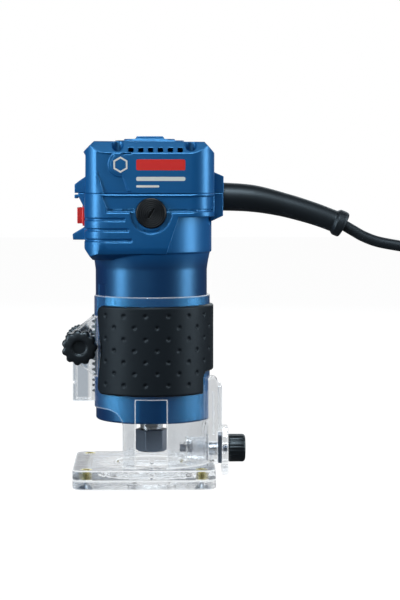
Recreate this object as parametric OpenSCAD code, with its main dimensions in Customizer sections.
// Trim router: a clear clamping base round a motor unit, with rack and pinion depth setting.
// The origin is on the spindle axis at the underside of the sub-base.
// +Z is up, -Y is the front, +X is the cord side and -X the switch and clamp side.

/* [Motor unit] */
// Outside diameter of the motor barrel
barrel_d = 65; // [64:0.5:65]
// Height of the barrel's lower end above the work
barrel_z = 36.5; // [36:0.5:38]
// Height of the seam between the head and its top cover
seam_z = 168.5; // [168:0.25:169]
// Width of the head from its front face to its back face
head_depth = 71; // [70:0.5:72]
// Wall thickness of the moulded shells
wall = 2.6; // [2:0.1:3]

/* [Base] */
// Width of the base plate from side to side
plate_w = 82; // [80:1:84]
// Length of the base plate from front to back
plate_l = 80; // [78:1:84]
// Thickness of the sub-base
sub_t = 5; // [4:0.5:5]
// Thickness of the base plate above the sub-base
plate_t = 6; // [5:0.5:6]
// Height of the clamping sleeve's upper rim
sleeve_top = 109.4; // [106:0.2:110]
// Wall thickness of the clamping sleeve
sleeve_wall = 1.65; // [1.4:0.05:1.8]
// Diameter of the opening in the sub-base for the cutter
cutter_d = 29; // [26:1:32]

/* [Depth setting and clamp] */
// Module of the rack and pinion teeth
gear_module = 1; // [1:0.1:1]
// Number of teeth on the pinion
pinion_teeth = 15; // [15:1:15]
// Height of the pinion shaft
shaft_z = 79.8; // [79:0.2:80]
// Radius over the lobes of the clamp knob
clamp_knob_r = 10.3; // [9.5:0.1:11]

/* [Spindle] */
// Shank diameter that the collet holds
collet_d = 6; // [6:0.35:6.35]
// Width of the collet nut across its flats
nut_flats = 17; // [16:0.5:18]
// Radial gap of every running fit
run_gap = 0.05; // [0.03:0.01:0.08]

/* [Hidden] */
$fn = 64;

clear = [0.86, 0.90, 0.94, 0.35];
body_blue = [0.07, 0.28, 0.52];
soft_black = [0.09, 0.10, 0.12];
hard_black = [0.05, 0.05, 0.06];
steel = [0.62, 0.64, 0.66];
dark_steel = [0.20, 0.22, 0.24];
brass = [0.74, 0.60, 0.28];
copper = [0.72, 0.40, 0.22];

barrel_r = barrel_d / 2;
bore_r = barrel_r - 2.5;
sleeve_in = barrel_r + run_gap;
sleeve_out = sleeve_in + sleeve_wall;
plate_x0 = -45.2;
plate_x1 = plate_x0 + plate_w;
plate_top = sub_t + plate_t;
corner_r = 7;
sub_screw_at = [[-37.2, -33.5], [-37.2, 33.5], [28.6, -33.5], [28.6, 33.5]];

pitch_r = gear_module * pinion_teeth / 2;
pitch_x = -33.8;
shaft_x = pitch_x - pitch_r;
tooth_add = 0.8 * gear_module;
tooth_ded = 1.0 * gear_module;
tooth_pitch = PI * gear_module;
backlash = 0.12;
pressure = 20;
split_half = 8;
ear_in = 9;
ear_out = 14;
ear_r = 8.5;
journal_r = 4;
thread_r = 3;

head_y = head_depth / 2;
head_x0 = -38.3;
head_x1 = 36.3;
head_r = 14;
cavity_z = 137;
brush_z = 157.3;
brush_cap_r = 8.6;
cover_screw_at = [[-19, -30.7], [-19, 30.7], [22.6, -30.7], [22.6, 30.7]];
commutator_r = 11;
groove_z = 158.1;
rib_z = 153;
rib_step = 5.95;
neck_r = 35.2;
neck_z = 133.9;
field_screw_y = 26.2;
guide_z = 18.5;
boot_z = 166.2;
boot_root_r = 8.2;

// Points along an arc, from angle a0 to angle a1 in n steps
function arc(cx, cy, r, a0, a1, n) =
    [for (i = [0:n]) let (a = a0 + (a1 - a0) * i / n) [cx + r * cos(a), cy + r * sin(a)]];

// Outline of a rectangle with rounded corners
function round_box(x0, x1, y0, y1, r, n = 6) = concat(
    arc(x1 - r, y1 - r, r, 0, 90, n),
    arc(x0 + r, y1 - r, r, 90, 180, n),
    arc(x0 + r, y0 + r, r, 180, 270, n),
    arc(x1 - r, y0 + r, r, 270, 360, n)
);

// A profile drawn in X and Z, extruded from y0 to y1
module along_y(y0, y1) {
    translate([0, y1, 0]) rotate([90, 0, 0]) linear_extrude(y1 - y0) children();
}

// A profile drawn in Y and Z, extruded from x0 to x1
module along_x(x0, x1) {
    translate([x0, 0, 0]) rotate([90, 0, 90]) linear_extrude(x1 - x0) children();
}

module slab(x0, x1, y0, y1, z0, z1) {
    translate([x0, y0, z0]) cube([x1 - x0, y1 - y0, z1 - z0]);
}

module rod_x(y, z, r, x0, x1) {
    translate([x0, y, z]) rotate([0, 90, 0]) cylinder(r = r, h = x1 - x0);
}

module rod_y(x, z, r, y0, y1) {
    translate([x, y0, z]) rotate([-90, 0, 0]) cylinder(r = r, h = y1 - y0);
}

module rod_z(x, y, r, z0, z1) {
    translate([x, y, z0]) cylinder(r = r, h = z1 - z0);
}

module ring_z(r_in, r_out, z0, z1) {
    difference() {
        rod_z(0, 0, r_out, z0, z1);
        rod_z(0, 0, r_in, z0 - 1, z1 + 1);
    }
}

// The same children at the front and, mirrored, at the back
module front_and_back() {
    children();
    mirror([0, 1, 0]) children();
}

function unit(v) = v / norm(v);

// A round cord or tube along a path: rings of points round each station, joined by faces
module swept_tube(path, radii, hole = 0, sides = 20) {
    count = len(path);
    closed = hole == 0;
    function tangent(i) = unit(path[min(i + 1, count - 1)] - path[max(i - 1, 0)]);
    function across(i) = unit(cross(tangent(i), [0.0123, 1, 0.0071]));
    function ring(i, r) = let (u = across(i), v = cross(u, tangent(i)))
        [for (k = [0:sides - 1]) path[i] + r * (cos(360 * k / sides) * u + sin(360 * k / sides) * v)];
    outer = [for (i = [0:count - 1]) each ring(i, radii[i])];
    inner = closed ? [] : [for (i = [0:count - 1]) each ring(i, hole)];
    base = count * sides;
    function next(k) = (k + 1) % sides;
    skin = [for (i = [0:count - 2]) for (k = [0:sides - 1])
        [i * sides + k, i * sides + next(k), (i + 1) * sides + next(k), (i + 1) * sides + k]];
    lining = closed ? [] : [for (i = [0:count - 2]) for (k = [0:sides - 1])
        [base + i * sides + k, base + (i + 1) * sides + k,
         base + (i + 1) * sides + next(k), base + i * sides + next(k)]];
    last = (count - 1) * sides;
    caps = closed
        ? [[for (k = [sides - 1:-1:0]) k], [for (k = [0:sides - 1]) last + k]]
        : [for (k = [0:sides - 1]) each [
            [k, base + k, base + next(k), next(k)],
            [last + next(k), base + last + next(k), base + last + k, last + k]]];
    polyhedron(points = concat(outer, inner), faces = concat(skin, lining, caps), convexity = 6);
}

// Base

module plate_outline() {
    polygon(round_box(plate_x0, plate_x1, -plate_l / 2, plate_l / 2, corner_r));
}

// The wall that carries the sleeve, open at the switch side and at the front and back windows
module sleeve() {
    arch_r = 9.5;
    leg_x = -16.5;
    arch_z = 34.5;
    difference() {
        ring_z(sleeve_in, sleeve_out, plate_top - 1, sleeve_top);
        slab(-45, -20, -split_half, split_half, 0, sleeve_top + 1);
        along_y(-45, 45) polygon(concat(
            [[leg_x, 0], [-50, 0], [-50, arch_z + arch_r]],
            arc(leg_x - arch_r, arch_z, arch_r, 90, 0, 8)
        ));
        slab(-9, 8.7, -45, 45, 0, 50.3);
    }
}

module ear_profile() {
    hull() {
        translate([shaft_x, shaft_z]) circle(r = ear_r, $fn = 32);
        polygon([[-28, 62.6], [-28, 97], [-33.2, 97], [-33.2, 62.6]]);
    }
}

module front_ear() {
    along_y(-ear_out, -ear_in) ear_profile();
}

// The rear ear runs down into a pocketed flange that stiffens the split
module rear_ear() {
    difference() {
        along_y(ear_in, ear_out) union() {
            ear_profile();
            polygon([[-46.5, 45.3], [-28, 45.3], [-28, 76], [-46.5, 76]]);
        }
        slab(-44.3, -36, ear_in - 1, ear_out - 1.6, 46.8, 66.7);
        slab(-47, -45.6, ear_in - 1, ear_out + 1, 55.9, 57);
    }
}

// Upright on the cord side with a domed top, a slot and two rails for the guide bracket
module guide_column() {
    difference() {
        union() {
            slab(32.3, 38.8, -9, 9, plate_top - 1, 57.5);
            rod_y(35.55, 57.5, 3.25, -9, 9);
            rod_x(0, guide_z, 6.5, 20, 34);
        }
        slab(35.5, 37, -6, 6, 27, 52);
    }
    for (side = [-1, 1]) slab(38.7, 41.1, side * 7.5 - 1.5, side * 7.5 + 1.5, 29, 56.3);
}

module base_body() {
    color(clear) difference() {
        union() {
            difference() {
                translate([0, 0, sub_t]) linear_extrude(plate_t) plate_outline();
                rod_z(0, 0, 21, 0, plate_top + 1);
            }
            sleeve();
            front_ear();
            rear_ear();
            guide_column();
        }
        rod_z(0, 0, sleeve_in, 25.5, sleeve_top + 1);
        rod_y(shaft_x, shaft_z, journal_r + run_gap, -20, 20);
        rod_x(0, guide_z, thread_r + 0.3, 19, 34);
        rod_x(0, guide_z, 4, 33, 42);
        for (at = sub_screw_at) rod_z(at[0], at[1], 3.2, sub_t - 1, plate_top + 1);
        // Ring of pockets in the underside, with ribs between them
        difference() {
            ring_z(23.5, 30.5, sub_t - 1, sub_t + plate_t / 2);
            for (k = [0:5]) rotate([0, 0, 30 + 60 * k]) slab(20, 34, -1.2, 1.2, 0, plate_top);
        }
    }
}

module sub_base() {
    color(clear) difference() {
        linear_extrude(sub_t) plate_outline();
        rod_z(0, 0, cutter_d / 2, -1, sub_t + 1);
        for (at = sub_screw_at) {
            rod_z(at[0], at[1], 2.1, -1, sub_t + 1);
            translate([at[0], at[1], -0.01]) cylinder(r1 = 4.31, r2 = 2.1, h = 2.41);
        }
    }
}

// Countersunk screws, driven up from below into the inserts
module sub_base_screws() {
    color(steel) for (at = sub_screw_at) translate([at[0], at[1], 0.2]) difference() {
        union() {
            cylinder(r1 = 4, r2 = 1.9, h = 2.3);
            cylinder(r = 1.9, h = 9);
        }
        translate([-5, -0.45, -1]) cube([10, 0.9, 1.8]);
    }
}

module threaded_inserts() {
    color(brass) for (at = sub_screw_at) translate([at[0], at[1], sub_t]) difference() {
        union() {
            cylinder(r = 3.2, h = 4.2);
            translate([0, 0, 4.2]) cylinder(r = 2.7, h = 0.6);
            translate([0, 0, 4.8]) cylinder(r = 3.2, h = plate_t - 4.8);
        }
        translate([0, 0, -1]) cylinder(r = 1.9, h = plate_t + 2);
    }
}

// Soft sleeve bonded round the clear one, with a notch for the guide column
module grip_sleeve() {
    grip_z0 = 52.5;
    grip_z1 = 104;
    grip_in = sleeve_out + 0.02;
    grip_out = 36.3;
    half_gap = 30;
    color(soft_black) difference() {
        rotate([0, 0, half_gap - 180]) rotate_extrude(angle = 360 - 2 * half_gap)
            polygon([
                [grip_in, grip_z0], [grip_out - 0.8, grip_z0], [grip_out, grip_z0 + 0.8],
                [grip_out, grip_z1 - 0.8], [grip_out - 0.8, grip_z1], [grip_in, grip_z1]
            ]);
        along_y(-27, 27) polygon([
            [26.8, grip_z0 - 1], [29, grip_z0 + 2.3], [30, grip_z0 + 6], [30, 61.3], [31.7, 64.1],
            [42, 67.3], [42, grip_z0 - 1]
        ]);
        // Waist that clears the clamp knob and the depth wheel
        rod_y(shaft_x, shaft_z, clamp_knob_r + 1.2, -45, 45);
    }
}

module guide_bracket() {
    color(clear) difference() {
        along_x(41.2, 44.9) polygon([
            [-9.5, 4], [9.5, 4], [9.5, 26], [6, 31.5], [-6, 31.5], [-9.5, 26]
        ]);
        rod_x(0, guide_z, 3.3, 40, 46);
        slab(40, 46, -4, 4, 4.8, 9);
    }
}

module guide_plate() {
    color(dark_steel) difference() {
        slab(39, 41.1, -8, 8, 10.6, 27);
        rod_x(0, guide_z, 3.3, 38, 42);
    }
}

// Threaded steel bush in the clear boss that the guide stud screws into
module guide_insert() {
    color(steel) difference() {
        rod_x(0, guide_z, 4, 33, 38.8);
        rod_x(0, guide_z, thread_r + run_gap, 32, 40);
    }
}

module guide_washer() {
    color(dark_steel) difference() {
        rod_x(0, guide_z, 6.2, 45, 46);
        rod_x(0, guide_z, thread_r + 0.08, 44, 47);
    }
}

module guide_knob() {
    color(hard_black) difference() {
        translate([45, 0, guide_z]) rotate([0, 90, 0]) rotate_extrude() polygon(concat(
            [[0, 0], [8, 0]], arc(7.3, 9.2, 0.85, 0, 90, 4), [[0, 10.1]]
        ));
        rod_x(0, guide_z, 6.3, 44, 46.06);
        rod_x(0, guide_z, thread_r, 44, 52);
        for (k = [0:17]) translate([0, 0, guide_z]) rotate([k * 20, 0, 0]) translate([0, 0, -guide_z])
            rod_x(8.55, guide_z, 0.75, 44, 53.6);
    }
}

module guide_stud() {
    color(dark_steel) union() {
        rod_x(0, guide_z, thread_r, 17.2, 52);
        translate([16.7, 0, guide_z]) rotate([0, 90, 0]) cylinder(r1 = thread_r - 0.5, r2 = thread_r, h = 0.5);
    }
}

// Depth setting and clamp

// One flank of an involute tooth, as points from the root out to the tip
function involute_flank(side) = let (
    base_r = pitch_r * cos(pressure),
    half = 90 / pinion_teeth - (backlash / 2) / pitch_r * 180 / PI,
    at_pitch = tan(pressure) * 180 / PI - pressure
) concat(
    [[pitch_r - tooth_ded, side * (half + at_pitch)]],
    [for (k = [0:4]) let (
        r = base_r + (pitch_r + tooth_add - base_r) * k / 4,
        a = acos(min(1, base_r / r)),
        inv = tan(a) * 180 / PI - a
    ) [r, side * (half + at_pitch - inv)]]
);

function polar(p) = [p[0] * cos(p[1]), p[0] * sin(p[1])];

module pinion_profile() {
    lower = involute_flank(-1);
    upper = involute_flank(1);
    polygon([for (t = [0:pinion_teeth - 1]) each concat(
        [for (p = lower) polar([p[0], p[1] + t * 360 / pinion_teeth])],
        [for (k = [len(upper) - 1:-1:0]) polar([upper[k][0], upper[k][1] + t * 360 / pinion_teeth])]
    )]);
}

module pinion_shaft() {
    color(steel) union() {
        rod_y(shaft_x, shaft_z, thread_r, -21.5, -14);
        rod_y(shaft_x, shaft_z, journal_r, -14.2, 14.2);
        rod_y(shaft_x, shaft_z, 5.6, -8.9, 8.9);
        translate([shaft_x, 0, shaft_z]) along_y(-5, 5) pinion_profile();
        rod_y(shaft_x, shaft_z, thread_r, 14, 22.4);
    }
}

// A wheel with rounded lobes round its rim, drawn about the origin
module lobed_disc(r, lobes, depth) {
    difference() {
        circle(r = r);
        for (k = [0:lobes - 1]) rotate(k * 360 / lobes) translate([r + 1.6 - depth, 0]) circle(r = 1.6, $fn = 24);
    }
}

module depth_wheel() {
    color(hard_black) difference() {
        union() {
            translate([shaft_x, 0, shaft_z]) along_y(15.6, 22) lobed_disc(10.4, 18, 0.7);
            rod_y(shaft_x, shaft_z, 6.5, 14.3, 16);
        }
        rod_y(shaft_x, shaft_z, journal_r, 14, 14.2);
        rod_y(shaft_x, shaft_z, thread_r, 14, 23);
    }
}

module wheel_screw() {
    color(steel) difference() {
        rod_y(shaft_x, shaft_z, 4.2, 22.4, 24.2);
        slab(shaft_x - 5, shaft_x + 5, 23.5, 25, shaft_z - 0.5, shaft_z + 0.5);
    }
}

module clamp_washer() {
    color(steel) difference() {
        rod_y(shaft_x, shaft_z, 7, -14.95, -14.05);
        rod_y(shaft_x, shaft_z, journal_r + 0.08, -16, -13);
    }
}

module clamp_knob() {
    color(hard_black) difference() {
        union() {
            translate([shaft_x, 0, shaft_z]) along_y(-23.6, -16.4) lobed_disc(clamp_knob_r, 11, 1.1);
            translate([shaft_x, 0, shaft_z]) along_y(-24.6, -23.6) lobed_disc(clamp_knob_r - 0.7, 11, 1.1);
            rod_y(shaft_x, shaft_z, 6.6, -16.4, -15);
        }
        rod_y(shaft_x, shaft_z, 4.4, -22, -14.9);
        rod_y(shaft_x, shaft_z, 4.2, -26, -22.6);
    }
}

// Threaded insert moulded into the clamp knob
module clamp_knob_insert() {
    color(steel) difference() {
        rod_y(shaft_x, shaft_z, 4.4, -21.9, -15);
        rod_y(shaft_x, shaft_z, thread_r + run_gap, -23, -14);
    }
}

// Rack teeth face the pinion, with a gap level with the pinion's axis
module depth_rack() {
    rack_z0 = shaft_z - 9.5 * tooth_pitch;
    tooth_count = 15;
    tip = tooth_pitch / 4 - backlash / 2 - tooth_add * tan(pressure);
    root = tooth_pitch / 4 - backlash / 2 + tooth_ded * tan(pressure);
    first = shaft_z - 9 * tooth_pitch + tooth_pitch / 2;
    color(steel) along_y(-4, 4) union() {
        polygon([
            [-30.5, rack_z0], [pitch_x + tooth_ded, rack_z0],
            [pitch_x + tooth_ded, rack_z0 + (tooth_count + 0.5) * tooth_pitch],
            [-30.5, rack_z0 + (tooth_count + 0.5) * tooth_pitch]
        ]);
        for (k = [0:tooth_count - 1]) let (z = first + k * tooth_pitch) polygon([
            [pitch_x + tooth_ded + 0.1, z - root], [pitch_x - tooth_add, z - tip],
            [pitch_x - tooth_add, z + tip], [pitch_x + tooth_ded + 0.1, z + root]
        ]);
    }
}

// Motor unit shells

module head_plan(inset = 0) {
    polygon(round_box(
        head_x0 + inset, head_x1 - inset, -head_y + inset, head_y - inset, head_r - inset, 10));
}

// A cut of a given depth that follows the head round its corners and stops short of the side flanges
module skin_cut(depth) {
    difference() {
        along_y(-40, 40) children();
        translate([0, 0, neck_z]) linear_extrude(seam_z - neck_z) head_plan(depth);
        for (x = [head_x0 - 5, head_x1 - 5]) slab(x, x + 10, -13, 13, neck_z, seam_z);
    }
}

// Chamfer on the lower edge of a groove in the front and back faces
module lower_lip(x0, x1, z, size) {
    front_and_back() along_x(x0, x1) polygon([
        [-head_y - 1, z - size - 1], [-head_y + size, z], [-head_y + size, z + 0.1], [-head_y - 1, z + 0.1]
    ]);
}

// Front to back section of the head block, sloped in to meet the neck
module neck_section(z0, z1) {
    polygon([
        [-neck_r + 0.95, z0], [-neck_r + 0.95, neck_z], [-head_y, neck_z + 3.5], [-head_y, z1],
        [head_y, z1], [head_y, neck_z + 3.5], [neck_r - 0.95, neck_z], [neck_r - 0.95, z0]
    ]);
}

module housing_outside() {
    intersection() {
        rotate_extrude() polygon([
            [0, barrel_z], [barrel_r - 0.8, barrel_z], [barrel_r, barrel_z + 0.8], [barrel_r, 124],
            [barrel_r + 0.6, 128.4], [neck_r - 1, neck_z], [neck_r, neck_z + 0.7], [neck_r, 160], [0, 160]
        ]);
        along_x(-40, 40) neck_section(barrel_z - 1, 161);
    }
    intersection() {
        translate([0, 0, 120]) linear_extrude(seam_z - 120) head_plan();
        along_y(-40, 40) polygon([
            [head_x0, 158], [head_x0, cavity_z], [-33.5, 130.4], [7.3, 130.4],
            [9.5, 137.3], [15.7, 155.2], [19, 155.2], [19, 158]
        ]);
        along_x(-40, 40) union() {
            neck_section(neck_z, 158);
            polygon([[-neck_r + 0.95, neck_z], [-24, 130], [24, 130], [neck_r - 0.95, neck_z]]);
        }
    }
    // Upper part, chamfered where it meets the cover
    intersection() {
        translate([0, 0, 155.2]) linear_extrude(seam_z - 155.2) head_plan();
        along_x(-40, 40) polygon([
            [-head_y, 155], [-head_y, seam_z - 0.9], [-head_y + 0.9, seam_z],
            [head_y - 0.9, seam_z], [head_y, seam_z - 0.9], [head_y, 155]
        ]);
    }
    along_y(-12, 12) polygon([[-36, 158.8], [-38.2, 158.8], [-42.2, 166.9], [-42.2, seam_z], [-36, seam_z]]);
    slab(-44.3, -42, -11, -7.5, 165.4, 167.6);
    along_y(-9, 9) polygon([[-36, 149.4], [-37.6, 149.4], [-45.6, 144.6], [-45.3, 141.4], [-36, 141.4]]);
    along_y(-12, 12) polygon([[34, seam_z], [41.6, seam_z], [41.6, 155.3], [35.4, 152.4], [34, 152.4]]);
}

module housing_cavity() {
    rod_z(0, 0, bore_r, 49, cavity_z + 1);
    difference() {
        rod_z(0, 0, bore_r, barrel_z + 3.5, 50);
        rod_z(0, 0, 17, barrel_z, 47);
        for (k = [0:2]) rotate([0, 0, 30 + 120 * k]) rod_z(20, 0, 3.4, barrel_z, 47);
    }
    intersection() {
        translate([0, 0, cavity_z]) linear_extrude(seam_z) head_plan(wall);
        union() {
            rod_z(0, 0, 35.2 - wall, cavity_z - 1, 158);
            slab(head_x0, 12, -40, 40, cavity_z, 158);
            slab(head_x0, head_x1, -40, 40, 157.6, seam_z + 1);
        }
    }
}

module housing_bosses() {
    front_and_back() rod_y(0, brush_z, 10.2, -head_y, -19.5);
    for (at = cover_screw_at) rod_z(at[0], at[1], 4.2, at[0] < 0 ? cavity_z - 1 : 155.4, seam_z);
    slab(24, 31, -10, 10, 150, boot_z);
    slab(30, 35, -10, 10, 150, 157);
    difference() {
        rod_z(0, 0, bore_r + 0.2, 66, 78);
        rod_z(0, 0, 28.4, 65, 79);
    }
    front_and_back() rod_z(0, -field_screw_y, 3.4, 66, 78);
}

module housing_relief() {
    // Belt below the seam, with a slanted end, and the shadow groove under it
    skin_cut(1.3) polygon([[-27.8, 166.9], [-25, 159.5], [40, 159.5], [40, 166.9]]);
    skin_cut(2.0) polygon([[-25.2, 159.5], [-25.2, groove_z], [40, groove_z], [40, 159.5]]);
    lower_lip(-25.2, -11, groove_z, 0.8);
    lower_lip(11, head_x1, groove_z, 0.8);
    // Grooves between the ribs beside the brush cap
    for (k = [0:2]) let (z = rib_z - rib_step * k, x = -14.8 + 2 * k) {
        skin_cut(1.2) polygon([[-40, z], [x, z], [x, z + 1.5], [-40, z + 1.5]]);
        lower_lip(head_x0, x, z, 0.5);
    }
    // Dished seat round each brush cap
    front_and_back() intersection() {
        rod_y(0, brush_z, 11.8, -head_y - 2, -head_y + 1);
        slab(-20, 20, -45, 0, 140, 158.4);
    }
    // Shallow window low on the barrel
    front_and_back() rotate([0, 0, -61]) slab(-4.4, 4.4, -barrel_r - 1, -barrel_r + 0.5, 100, 116);
}

module motor_housing() {
    color(body_blue) difference() {
        union() {
            difference() {
                housing_outside();
                housing_cavity();
                housing_relief();
            }
            intersection() {
                housing_bosses();
                union() {
                    rod_z(0, 0, 35, barrel_z, 160);
                    translate([0, 0, cavity_z - 2]) linear_extrude(seam_z - cavity_z + 2) head_plan(1.4);
                }
            }
        }
        // Spindle hole, bearing seat and outlet slots in the lower end
        rod_z(0, 0, 9.5, barrel_z - 1, 40);
        rod_z(0, 0, 14, 39, 50);
        for (k = [0:11]) rotate([0, 0, 15 + 30 * k]) slab(24.2, 28.6, -1.9, 1.9, barrel_z - 1, 41);
        for (k = [0:2]) rotate([0, 0, 30 + 120 * k]) rod_z(20, 0, 1.25, 40, 50);
        // Brush wells
        front_and_back() rod_y(0, brush_z, brush_cap_r + 0.02, -40, -31);
        front_and_back() rod_y(0, brush_z, 6.5, -40, -19);
        for (at = cover_screw_at) rod_z(at[0], at[1], 1.9, 158, seam_z + 1);
        front_and_back() rod_z(0, -field_screw_y, 1.5, 66, 79);
        // Rack seat
        slab(-34, -30.5, -4, 4, shaft_z - 9.5 * tooth_pitch, shaft_z + 6 * tooth_pitch);
        // Switch slot and the channel above it
        slab(-40, -35, -2.7, 2.7, 149.6, 161.5);
        slab(-43, head_x0, -6.4, 6.4, 149.1, seam_z + 1);
        // Cord entry, cord seat and its screws
        rod_x(0, boot_z, boot_root_r + 0.15, 32, 45);
        rod_x(0, boot_z, 9.6, 32.8, 34.8);
        rod_x(0, boot_z, 3.25, 20, 35);
        for (side = [-1, 1]) rod_z(27.5, side * 7, 1.1, 156, 168);
    }
}

// Raised label panel: a round end that runs down into a slanted edge
module label_outline(inset) {
    polygon(concat(
        [[21.2, 169.6], [21.2, 190.7], [-16, 190.7]],
        arc(-17.4, 184.8, 6.9 - inset, 70, 280, 14),
        [[-13.4 + inset, 169.6]]
    ));
}

module cover_outside() {
    intersection() {
        translate([0, 0, seam_z]) linear_extrude(30) polygon(round_box(
            -38.7, head_x1, -head_y + 0.5, head_y - 0.5, head_r, 10));
        along_y(-40, 40) polygon([
            [-37.6, seam_z], [-37.6, 190.4], [-38.7, 192.1], [-32.4, 198.2],
            [30.4, 197.8], [36.2, 191.5], [36.2, seam_z]
        ]);
        along_x(-40, 40) polygon([
            [-head_y + 0.5, seam_z], [-head_y + 0.5, 191.2], [-head_y + 6.5, 198.2],
            [head_y - 6.5, 198.2], [head_y - 0.5, 191.2], [head_y - 0.5, seam_z]
        ]);
    }
    translate([0, 0, 197]) linear_extrude(1.7) polygon(round_box(-20.6, 18.9, -22, 22, 6));
    translate([0, 0, 197]) linear_extrude(2.6) polygon(round_box(-15.5, 13.8, -17, 17, 5));
    along_y(-10, 10) polygon([[-9.6, 199], [-8.2, 201.2], [6.9, 201.2], [8.2, 199]]);
    along_y(-12, 12) polygon([
        [-36, seam_z], [-44.2, seam_z], [-44.2, 173.4], [-41.4, 175.6], [-37.3, 178.4], [-36, 178.4]
    ]);
    along_y(-12, 12) polygon([
        [34, seam_z], [41.9, seam_z], [41.9, 178.1], [36, 180.7], [34, 180.7]
    ]);
}

module top_cover() {
    color(body_blue) difference() {
        union() {
            difference() {
                cover_outside();
                intersection() {
                    translate([0, 0, seam_z - 1]) linear_extrude(26) head_plan(wall + 0.6);
                    along_y(-40, 40) polygon([
                        [-34.8, 160], [-34.8, 190], [-30.6, 194.6], [28.6, 194.6], [33.2, 190], [33.2, 160]
                    ]);
                }
            }
            rod_z(0, 0, 15.5, seam_z, 195);
            intersection() {
                for (at = cover_screw_at) rod_z(at[0], at[1], 4.9, seam_z, 195);
                cover_outside();
            }
            slab(-30, 30, -1, 1, 186, 195);
        }
        // Bearing tower
        rod_z(0, 0, 12.5, seam_z - 1, 178);
        rod_z(0, 0, 9, 177, 192);
        // Screw wells
        for (at = cover_screw_at) {
            rod_z(at[0], at[1], 2.1, seam_z - 1, 188);
            rod_z(at[0], at[1], 3.2, 187, 200);
        }
        // Vents along the sloped edges, which open on either side of a stiffening rib
        front_and_back() for (k = [0:5]) slab(-11.4 - 1.4 + 5.58 * k, -11.4 + 1.4 + 5.58 * k, -40, -28, 191.9, 194.3);
        // Recess between the corner pillar and the label panel, with a step round the panel
        for (step = [[1.9, 0], [0.95, 1.3]]) front_and_back() difference() {
            along_y(-40, -head_y + step[0]) difference() {
                polygon([[-33.4, 191.4], [-26.6, seam_z - 1], [-11, seam_z - 1], [-11, 191.4]]);
                label_outline(step[1]);
            }
            for (at = cover_screw_at) rod_z(at[0], at[1], 4.6, 186.5, 200);
        }
        rod_x(0, boot_z, boot_root_r + 0.15, 32, 45);
        rod_x(0, boot_z, 9.6, 32.8, 34.8);
    }
}

// Each cover screw is driven down through the cover into a boss of the head
module cover_screws() {
    color(dark_steel) for (at = cover_screw_at) translate([at[0], at[1], 0]) difference() {
        union() {
            rod_z(0, 0, 1.9, 158.5, 187.5);
            rod_z(0, 0, 3.1, 187.0, 189.6);
        }
        translate([-2.2, -0.4, 188.4]) cube([4.4, 0.8, 2]);
        translate([-0.4, -2.2, 188.4]) cube([0.8, 4.4, 2]);
    }
}

// Brush gear

module brush_caps() {
    color(hard_black) front_and_back() difference() {
        union() {
            rod_y(0, brush_z, brush_cap_r, -head_y - 0.3, -31);
            rod_y(0, brush_z, brush_cap_r - 0.6, -head_y - 0.9, -head_y);
            rod_y(0, brush_z, 3, -32, -29);
        }
        translate([0, 0, brush_z]) rotate([0, 30, 0]) slab(-0.5, 0.5, -40, -head_y + 0.6, -3, 3);
    }
}

module brush_holders() {
    color(brass) front_and_back() difference() {
        union() {
            rod_y(0, brush_z, 6.5, -30.9, -18);
            slab(-4.2, 4.2, -19, -13.2, brush_z - 5, brush_z + 5);
        }
        slab(-3.1, 3.1, -32, -12, brush_z - 4.1, brush_z + 4.1);
    }
}

module carbon_brushes() {
    color([0.13, 0.13, 0.14]) front_and_back()
        slab(-3, 3, -22, -commutator_r - 0.05, brush_z - 4, brush_z + 4);
}

module brush_springs() {
    turns = 5;
    steps = turns * 12;
    color(steel) front_and_back() swept_tube(
        [for (i = [0:steps]) [2.3 * cos(30 * i), -22.3 - 6.3 * i / steps, brush_z + 2.3 * sin(30 * i)]],
        [for (i = [0:steps]) 0.28], 0, 6);
}

// Switch and wiring

module switch_slider() {
    color([0.80, 0.10, 0.08]) union() {
        slab(-43, -39.4, -5, 5, 150.7, 160.1);
        slab(-39.9, -38.4, -5.6, 5.6, 149.3, 161.2);
        slab(-38.6, -35.9, -2.6, 2.6, 150.4, 156.6);
    }
}

module switch_body() {
    color(hard_black) union() {
        slab(-35.7, -25, -8, 8, 143, 166);
        for (side = [-1, 1]) slab(-27.5, -26.5, side * 4 - 1.5, side * 4 + 1.5, 138.5, 144);
    }
}

module capacitor() {
    color([0.75, 0.62, 0.20]) union() {
        slab(13, 22, 12.5, 22, 139, 152);
        for (x = [15, 20]) rod_z(x, 17, 0.5, 151, 156);
    }
}

// Leads from the cord to the switch, and from the switch to the field coils
module lead_wires() {
    color([0.10, 0.10, 0.10]) union() {
        for (side = [-1, 1]) swept_tube([
            [23.3, side * 1.4, boot_z], [20, side * 4, 168.6], [17, side * 9, 174], [11, side * 17, 179],
            [0, side * 20, 180], [-11, side * 19, 178], [-22, side * 14, 173], [-28, side * 8, 169.5],
            [-29.5, side * 6, 167]
        ], [for (i = [0:8]) 1.1], 0, 8);
        for (side = [-1, 1]) swept_tube([
            [-27, side * 4, 137.9], [-26.5, side * 5, 134.5], [-25, side * 7, 131], [-22, side * 9, 128],
            [-20, side * 10, 123.6]
        ], [for (i = [0:4]) 0.9], 0, 8);
    }
}

// Cord

// Stations of the cord's centre line: straight inside the boot's root, then a falling double curve
cord_knots = [
    [24, boot_z], [34.4, boot_z], [42.3, boot_z], [59.4, 165.1], [77, 161.5], [94.3, 156.5], [106.3, 152.1],
    [112.4, 149.6], [118, 146.4], [124.3, 142.9], [133, 139.7], [146.3, 137.2], [151, 136.6]
];

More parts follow.
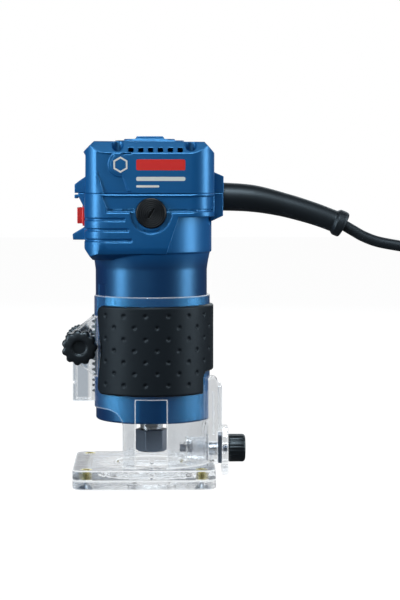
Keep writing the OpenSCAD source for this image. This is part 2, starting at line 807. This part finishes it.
// Catmull-Rom curve through the knots
function spline(p0, p1, p2, p3, t) = 0.5 * (2 * p1 + (p2 - p0) * t
    + (2 * p0 - 5 * p1 + 4 * p2 - p3) * t * t + (3 * p1 - p0 - 3 * p2 + p3) * t * t * t);
function knot(i) = cord_knots[max(0, min(len(cord_knots) - 1, i))];
cord_steps = 4;
cord_line = [for (i = [0:len(cord_knots) - 2]) for (k = [0:cord_steps - 1])
    let (p = spline(knot(i - 1), knot(i), knot(i + 1), knot(i + 2), k / cord_steps)) [p[0], 0, p[1]]];
cord_path = concat(cord_line, [[151, 0, 136.6]]);
cord_r = 3.25;

module power_cord() {
    color(soft_black) swept_tube(cord_path, [for (p = cord_path) cord_r]);
}

function boot_r(x) = lookup(x, [
    [42.3, boot_root_r], [59.4, 7.9], [77, 6.9], [94.3, 6.5], [106.3, 6.3], [108, 7.7], [111, 7.8], [113, 6.4]
]);

module cord_boot() {
    boot_path = [for (p = cord_path) if (p[0] > 34.3 && p[0] < 113) p];
    color(soft_black) union() {
        swept_tube(boot_path, [for (p = boot_path) boot_r(p[0])], cord_r);
        difference() {
            rod_x(0, boot_z, 9.5, 33, 34.6);
            rod_x(0, boot_z, cord_r + 0.2, 32, 36);
        }
    }
}

module cord_clamp() {
    color(hard_black) difference() {
        slab(25, 30, -9.5, 9.5, boot_z, boot_z + 5.4);
        rod_x(0, boot_z, cord_r, 24, 31);
        for (side = [-1, 1]) rod_z(27.5, side * 7, 1.3, boot_z - 1, boot_z + 6);
    }
}

module cord_clamp_screws() {
    color(steel) for (side = [-1, 1]) union() {
        rod_z(27.5, side * 7, 1.1, 157, boot_z + 6);
        rod_z(27.5, side * 7, 2.3, boot_z + 5.4, boot_z + 7);
    }
}

// Motor

module field_core() {
    color([0.45, 0.45, 0.47]) difference() {
        union() {
            ring_z(24, 29.8, 78, 118);
            intersection() {
                ring_z(18.3, 24.5, 78, 118);
                slab(-30, 30, -10.5, 10.5, 77, 119);
            }
            intersection() {
                ring_z(18.3, 20.4, 78, 118);
                slab(-30, 30, -15.6, 15.6, 77, 119);
            }
        }
        front_and_back() rod_z(0, -field_screw_y, 1.6, 77, 119);
    }
}

// One coil round each pole: a curved block with the pole's window through it
module field_coils() {
    color(copper) for (pole = [0, 180]) rotate([0, 0, pole]) difference() {
        rotate([0, 0, -48]) rotate_extrude(angle = 96) translate([20.7, 73]) square([3.1, 50]);
        rotate([0, 0, -32]) rotate_extrude(angle = 64) translate([19, 77.8]) square([6, 40.4]);
    }
}

module field_screws() {
    color(steel) front_and_back() union() {
        rod_z(0, -field_screw_y, 1.5, 68, 119);
        rod_z(0, -field_screw_y, 2.7, 118, 120.4);
    }
}

module fan_baffle() {
    color(hard_black) rotate_extrude() polygon([
        [20, 64], [21, 63], [29.9, 63], [29.9, 66], [24, 66]
    ]);
}

module cooling_fan() {
    color([0.20, 0.20, 0.22]) difference() {
        union() {
            rod_z(0, 0, 8, 51, 62);
            rod_z(0, 0, 26.4, 51, 52.4);
            for (k = [0:10]) rotate([0, 0, k * 360 / 11]) translate([7, 2, 52]) rotate([0, 0, 24]) cube([18, 1.1, 8.6]);
        }
        rod_z(0, 0, 5, 50, 63);
    }
}

module bearing_retainer() {
    color(steel) difference() {
        rod_z(0, 0, 23.4, 47, 48.4);
        rod_z(0, 0, 9, 46, 50);
        for (k = [0:2]) rotate([0, 0, 30 + 120 * k]) rod_z(20, 0, 1.5, 46, 50);
    }
}

module retainer_screws() {
    color(dark_steel) for (k = [0:2]) rotate([0, 0, 30 + 120 * k]) union() {
        rod_z(20, 0, 1.25, 41, 49);
        rod_z(20, 0, 2.4, 48.4, 50);
    }
}

// A ball bearing is two rings with a groove each, and a ring of balls between them
module bearing_ring(r_in, r_out, z0, z1, groove_at, groove_r) {
    difference() {
        ring_z(r_in, r_out, z0, z1);
        translate([0, 0, (z0 + z1) / 2]) rotate_extrude() translate([groove_at, 0]) circle(r = groove_r);
    }
}

module ball_ring(at_r, ball_r, count, z) {
    for (k = [0:count - 1]) rotate([0, 0, 360 * k / count]) translate([at_r, 0, z]) sphere(r = ball_r);
}

module lower_bearing_outer() {
    color(steel) bearing_ring(11.6, 14, 39, 47, 10, 2.45);
}

module lower_bearing_inner() {
    color(steel) bearing_ring(6, 8.4, 39, 47, 10, 2.45);
}

module lower_bearing_balls() {
    color(steel) ball_ring(10, 2.4, 8, 43);
}

module upper_bearing_outer() {
    color(steel) bearing_ring(8.9, 11, 169, 176, 7.5, 2.05);
}

module upper_bearing_inner() {
    color(steel) bearing_ring(4, 6.1, 169, 176, 7.5, 2.05);
}

module upper_bearing_balls() {
    color(steel) ball_ring(7.5, 2, 7, 172.5);
}

module bearing_bush() {
    color(soft_black) difference() {
        rod_z(0, 0, 12.5, 169, 177);
        rod_z(0, 0, 11, 168, 176);
        rod_z(0, 0, 7, 168, 178);
    }
}

module spindle() {
    color(steel) difference() {
        union() {
            rod_z(0, 0, 6, 20, 47.6);
            rod_z(0, 0, 6.65, 30.2, 38.9);
            rod_z(0, 0, 7.4, 47.2, 50.8);
            rod_z(0, 0, 5, 50, 66);
            rod_z(0, 0, 4.5, 65, 168.8);
            rod_z(0, 0, 4, 168, 178);
        }
        // Taper for the collet, and room for the shank above it
        translate([0, 0, 19.99]) cylinder(r1 = 5.2, r2 = 3.7, h = 11.01);
        rod_z(0, 0, 3.3, 19, 44);
        // Wrench flats
        for (side = [-1, 1]) slab(-10, 10, side * 7.6 - 2, side * 7.6 + 2, 31.5, 36);
    }
}

module armature_core() {
    color([0.42, 0.42, 0.44]) difference() {
        rod_z(0, 0, 17.6, 78, 118);
        rod_z(0, 0, 4.5, 77, 119);
        for (k = [0:11]) rotate([0, 0, 30 * k]) {
            slab(15, 18, -0.7, 0.7, 77, 119);
            rod_z(13.2, 0, 2.2, 77, 119);
        }
    }
}

module armature_windings() {
    color(copper) union() {
        rotate_extrude() polygon([[4.5, 118], [16.4, 118], [16.4, 123], [13, 127.6], [4.5, 127.6]]);
        rotate_extrude() polygon([[4.5, 78], [16.4, 78], [16.4, 73], [13, 69.4], [4.5, 69.4]]);
        for (k = [0:11]) rotate([0, 0, 30 * k]) rod_z(13.2, 0, 2.1, 77, 119);
    }
}

module commutator() {
    color(copper) difference() {
        union() {
            rod_z(0, 0, commutator_r, 148, 165);
            rod_z(0, 0, 12.4, 145.6, 148.4);
        }
        rod_z(0, 0, 4.5, 140, 170);
        for (k = [0:23]) rotate([0, 0, 7.5 + 15 * k]) slab(commutator_r - 0.8, 13, -0.25, 0.25, 145, 166);
    }
}

// Split collet: four springy jaws on a head that the nut holds
module collet() {
    color(dark_steel) difference() {
        union() {
            translate([0, 0, 19.9]) cylinder(r1 = 5.15, r2 = 3.75, h = 10.3);
            rod_z(0, 0, 5.4, 18.2, 19.9);
        }
        rod_z(0, 0, collet_d / 2, 17, 31);
        for (k = [0:1]) rotate([0, 0, 45 + 90 * k]) slab(-7, 7, -0.4, 0.4, 21.5, 31);
    }
}

module collet_nut() {
    hex_r = nut_flats / 2 / cos(30);
    color(dark_steel) difference() {
        intersection() {
            rotate([0, 0, 10]) rod_hex(hex_r, 17, 30);
            rotate_extrude() polygon([
                [0, 17], [8.0, 17], [9.1, 17.8], [9.9, 19.6], [9.9, 29], [9.0, 30], [0, 30]
            ]);
        }
        rod_z(0, 0, 6 + run_gap, 20, 31);
        rod_z(0, 0, 5.5, 18.1, 20.5);
        rod_z(0, 0, 4.6, 16, 19);
    }
}

module rod_hex(r, z0, z1) {
    translate([0, 0, z0]) cylinder(r = r, h = z1 - z0, $fn = 6);
}

base_body();
sub_base();
sub_base_screws();
threaded_inserts();
grip_sleeve();
guide_bracket();
guide_plate();
guide_insert();
guide_washer();
guide_knob();
guide_stud();
clamp_washer();
clamp_knob();
clamp_knob_insert();
pinion_shaft();
depth_wheel();
wheel_screw();
motor_housing();
top_cover();
cover_screws();
depth_rack();
brush_caps();
brush_holders();
brush_springs();
carbon_brushes();
switch_slider();
switch_body();
capacitor();
lead_wires();
power_cord();
cord_boot();
cord_clamp();
cord_clamp_screws();
field_core();
field_coils();
field_screws();
fan_baffle();
bearing_retainer();
retainer_screws();
bearing_bush();
lower_bearing_outer();
lower_bearing_balls();
lower_bearing_inner();
upper_bearing_outer();
upper_bearing_balls();
upper_bearing_inner();
spindle();
armature_core();
armature_windings();
commutator();
cooling_fan();
collet();
collet_nut();
